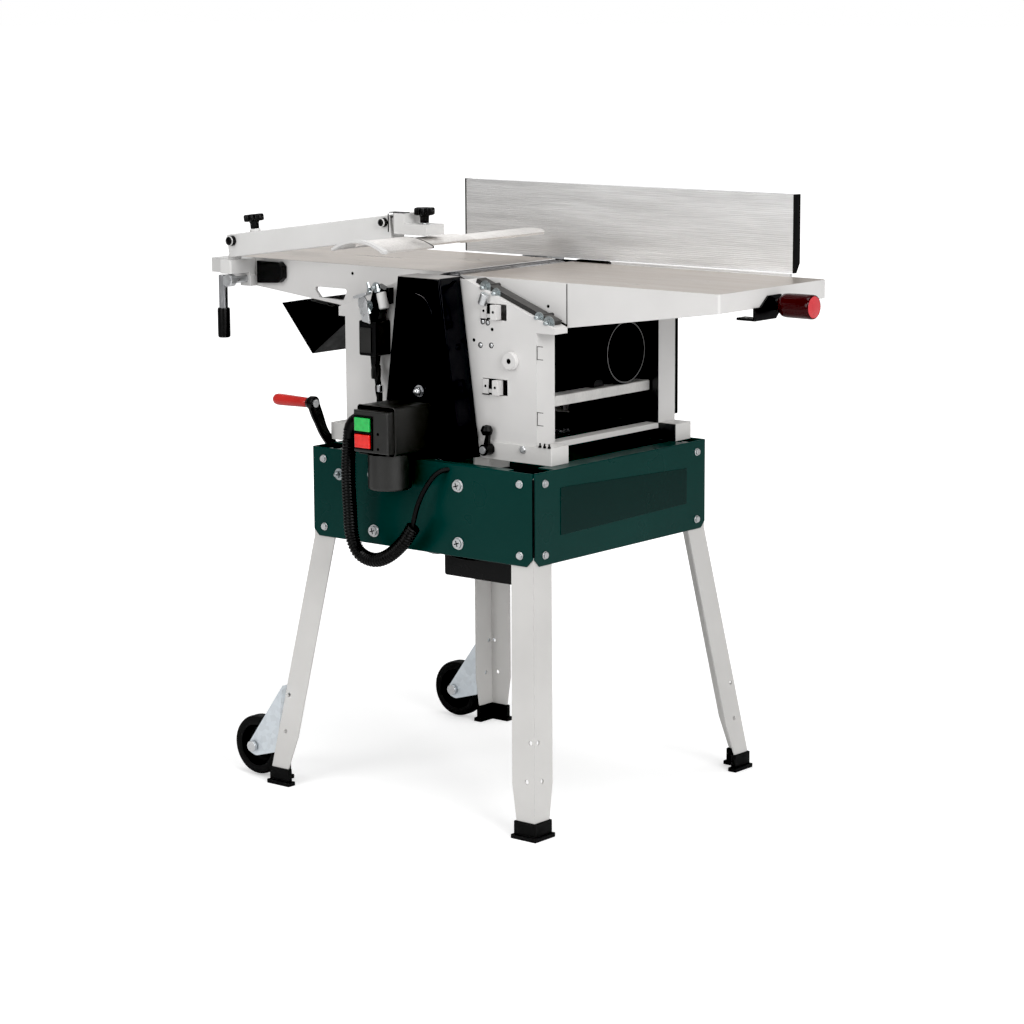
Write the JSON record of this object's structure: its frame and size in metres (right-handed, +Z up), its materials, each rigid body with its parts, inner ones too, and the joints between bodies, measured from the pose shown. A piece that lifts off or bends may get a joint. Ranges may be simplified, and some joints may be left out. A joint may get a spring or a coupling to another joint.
{
  "type": "surface planer and thicknesser",
  "caption": "Bench-height surface planer and thicknesser on splayed sheet-steel legs, with sloping infeed table, tilting fence, bridge guard, lifting bed and chip hood.",
  "frame": {"origin": "floor level, under the centre of the whole machine's box", "axes": "+X towards the infeed end, +Y away from the operator towards the fence, +Z up"},
  "size_m": [1.11, 0.62, 0.9604],
  "materials": {
    "stand_green": "satin dark green powder coat",
    "leg_grey": "silver-grey powder coat",
    "foot_rubber": "matt black",
    "zinc_bolts": "bright zinc plate",
    "zinc_bracket": "blue zinc plate",
    "wheel_black": "black wheel",
    "body_grey": "light warm grey",
    "rail_grey": "light grey",
    "steel": "machined",
    "motor_grey": "black painted",
    "belt_rubber": "ribbed belt",
    "cover_black": "glossy black",
    "hood_black": "black",
    "table_alu": "ground top, coated sides",
    "bar_dark": "dark grey",
    "bracket_black": "black",
    "knob_red": "dark red",
    "grip_red": "bright red",
    "fence_alu": "ribbed, anodised",
    "plastic_black": "black",
    "guard_grey": "light grey",
    "guard_alu": "pale anodised",
    "button_green": "green",
    "button_red": "red"
  },
  "bodies": {
    "frame": {"skirt_front": "stand_green", "skirt_rear": "stand_green", "skirt_left": "stand_green", "skirt_right": "stand_green", "leg_front_left": "leg_grey", "leg_front_right": "leg_grey", "leg_rear_left": "leg_grey", "leg_rear_right": "leg_grey", "rubber_feet": "foot_rubber", "stand_bolts": "zinc_bolts", "wheel_brackets": "zinc_bracket", "base_rail_front": "rail_grey", "base_rail_rear": "rail_grey", "cross_members": "rail_grey", "side_panel_front": "body_grey", "side_panel_rear": "body_grey", "motor_housing": "motor_grey", "drive_belt": "belt_rubber", "belt_cover": "cover_black", "rear_cover": "hood_black", "cutter_bearings": "steel", "outfeed_table": "table_alu", "lift_chain": "steel", "fence_holder": "guard_grey", "guard_mount": "guard_grey", "switch_box": "plastic_black", "interlock_switch": "plastic_black"},
    "cutter": {"cutter_block": "steel", "planer_knives": "steel", "cutter_pulley": "steel"},
    "motor": {"motor_rotor": "steel"},
    "infeed_roll": {"infeed_roller": "steel"},
    "outfeed_roll": {"outfeed_roller": "steel"},
    "pawls": {"kickback_pawls": "steel"},
    "infeed": {"infeed_table": "table_alu", "incline_bars": "bar_dark", "knob_bracket": "bracket_black"},
    "knob": {"depth_knob": "knob_red"},
    "bed": {"thickness_table": "table_alu"},
    "screw_front": {"lift_screw_front": "steel"},
    "screw_rear": {"lift_screw_rear": "steel"},
    "crank": {"crank_arm": "bracket_black"},
    "grip": {"crank_grip": "grip_red"},
    "hood": {"chip_hood": "hood_black"},
    "fence_slide": {"fence_bar": "guard_grey"},
    "fence": {"fence_profile": "fence_alu", "fence_end_caps": "plastic_black", "fence_bracket": "guard_grey"},
    "fence_clamp": {"fence_lever": "plastic_black"},
    "guard_clamp": {"clamp_lever": "plastic_black"},
    "arm": {"guard_arm": "guard_grey"},
    "holder": {"guard_holder": "guard_grey"},
    "guard": {"bridge_guard": "guard_alu"},
    "arm_knob": {"height_knob": "plastic_black"},
    "holder_knob": {"width_knob": "plastic_black"},
    "front_wheel": {"wheel_front": "wheel_black"},
    "rear_wheel": {"wheel_rear": "wheel_black"},
    "start": {"start_button": "button_green"},
    "stop": {"stop_button": "button_red"},
    "feed": {"feed_lever": "plastic_black"}
  },
  "joints": [
    {"name": "cutter_spin", "type": "hinge", "parent": "frame", "child": "cutter", "pos_m": [-0.041, -0.004, 0.8043], "axis": [0, 1, 0], "continuous": true},
    {"name": "motor_spin", "type": "hinge", "parent": "frame", "child": "motor", "pos_m": [-0.021, -0.004, 0.452], "axis": [0, 1, 0], "continuous": true},
    {"name": "infeed_roller_spin", "type": "hinge", "parent": "frame", "child": "infeed_roll", "pos_m": [0.019, -0.004, 0.7873], "axis": [0, 1, 0], "continuous": true},
    {"name": "outfeed_roller_spin", "type": "hinge", "parent": "frame", "child": "outfeed_roll", "pos_m": [-0.101, -0.004, 0.7873], "axis": [0, 1, 0], "continuous": true},
    {"name": "pawl_swing", "type": "hinge", "parent": "frame", "child": "pawls", "pos_m": [0.053, -0.004, 0.797], "axis": [0, -1, 0], "range_deg": [0, 40]},
    {"name": "infeed_slide", "type": "slide", "parent": "frame", "child": "infeed", "axis": [0.9367, 0, -0.3502], "range_m": [-0.00857, 0]},
    {"name": "depth_knob_turn", "type": "hinge", "parent": "infeed", "child": "knob", "pos_m": [0.5, 0.022, 0.8075], "axis": [1, 0, 0], "range_deg": [-1541.94, 0]},
    {"name": "bed_lift", "type": "slide", "parent": "frame", "child": "bed", "axis": [0, 0, 1], "range_m": [-0.04, 0]},
    {"name": "crank_turn", "type": "hinge", "parent": "frame", "child": "crank", "pos_m": [-0.28, -0.128, 0.524], "axis": [1, 0, 0], "range_deg": [-7200, 0]},
    {"name": "crank_grip_spin", "type": "hinge", "parent": "crank", "child": "grip", "pos_m": [-0.313, -0.192, 0.617], "axis": [1, 0, 0], "continuous": true},
    {"name": "front_screw_turn", "type": "hinge", "parent": "frame", "child": "screw_front", "pos_m": [-0.043, -0.128, 0.6], "axis": [0, 0, 1], "range_deg": [-7200, 0]},
    {"name": "rear_screw_turn", "type": "hinge", "parent": "frame", "child": "screw_rear", "pos_m": [-0.043, 0.183, 0.6], "axis": [0, 0, 1], "range_deg": [-7200, 0]},
    {"name": "hood_slide", "type": "slide", "parent": "bed", "child": "hood", "axis": [1, 0, 0], "range_m": [0, 0.15]},
    {"name": "fence_slide", "type": "slide", "parent": "frame", "child": "fence_slide", "axis": [0, 1, 0], "range_m": [-0.05, 0]},
    {"name": "fence_tilt", "type": "hinge", "parent": "fence_slide", "child": "fence", "pos_m": [-0.143, 0.2, 0.846], "axis": [-1, 0, 0], "range_deg": [0, 45]},
    {"name": "fence_clamp_turn", "type": "hinge", "parent": "frame", "child": "fence_clamp", "pos_m": [-0.143, 0.2445, 0.868], "axis": [0, 0, 1], "range_deg": [-60, 60]},
    {"name": "guard_clamp_turn", "type": "hinge", "parent": "frame", "child": "guard_clamp", "pos_m": [-0.476, -0.169, 0.802], "axis": [0, -1, 0], "range_deg": [0, 90]},
    {"name": "guard_arm_lift", "type": "hinge", "parent": "frame", "child": "arm", "pos_m": [-0.468, -0.154, 0.868], "axis": [0, -1, 0], "range_deg": [-7, 12]},
    {"name": "guard_level", "type": "hinge", "parent": "arm", "child": "holder", "pos_m": [-0.13115, -0.154, 0.91414], "axis": [0, -1, 0], "range_deg": [-12, 7]},
    {"name": "guard_slide", "type": "slide", "parent": "holder", "child": "guard", "axis": [0, 1, 0], "range_m": [-0.2, 0.05]},
    {"name": "height_knob_turn", "type": "hinge", "parent": "arm", "child": "arm_knob", "pos_m": [-0.42837, -0.154, 0.87343], "axis": [-0.1357, 0, 0.9907], "range_deg": [0, 540]},
    {"name": "width_knob_turn", "type": "hinge", "parent": "holder", "child": "holder_knob", "pos_m": [-0.06, -0.154, 0.91414], "axis": [0, 0, 1], "range_deg": [0, 540]},
    {"name": "front_wheel_spin", "type": "hinge", "parent": "frame", "child": "front_wheel", "pos_m": [-0.339, -0.256, 0.052], "axis": [0, 1, 0], "continuous": true},
    {"name": "rear_wheel_spin", "type": "hinge", "parent": "frame", "child": "rear_wheel", "pos_m": [-0.339, 0.248, 0.052], "axis": [0, 1, 0], "continuous": true},
    {"name": "start_button_press", "type": "slide", "parent": "frame", "child": "start", "axis": [0, 1, 0], "range_m": [0, 0.003], "stiffness_N_per_m": 300},
    {"name": "stop_button_press", "type": "slide", "parent": "frame", "child": "stop", "axis": [0, 1, 0], "range_m": [0, 0.003], "stiffness_N_per_m": 300},
    {"name": "feed_lever_turn", "type": "hinge", "parent": "frame", "child": "feed", "pos_m": [0.071, -0.162, 0.57], "axis": [0, 1, 0], "range_deg": [-5, 40]}
  ],
  "couplings": [
    {"joint": "motor_spin", "follows": "cutter_spin", "ratio": 0.43137},
    {"joint": "infeed_roller_spin", "follows": "cutter_spin", "ratio": -0.0069444},
    {"joint": "outfeed_roller_spin", "follows": "cutter_spin", "ratio": -0.0069444},
    {"joint": "depth_knob_turn", "follows": "infeed_slide", "rad_per_m": 3141.6},
    {"joint": "bed_lift", "follows": "crank_turn", "m_per_rad": 0.00031831},
    {"joint": "front_screw_turn", "follows": "crank_turn", "ratio": 1},
    {"joint": "rear_screw_turn", "follows": "crank_turn", "ratio": 1},
    {"joint": "guard_level", "follows": "guard_arm_lift", "ratio": -1}
  ]
}
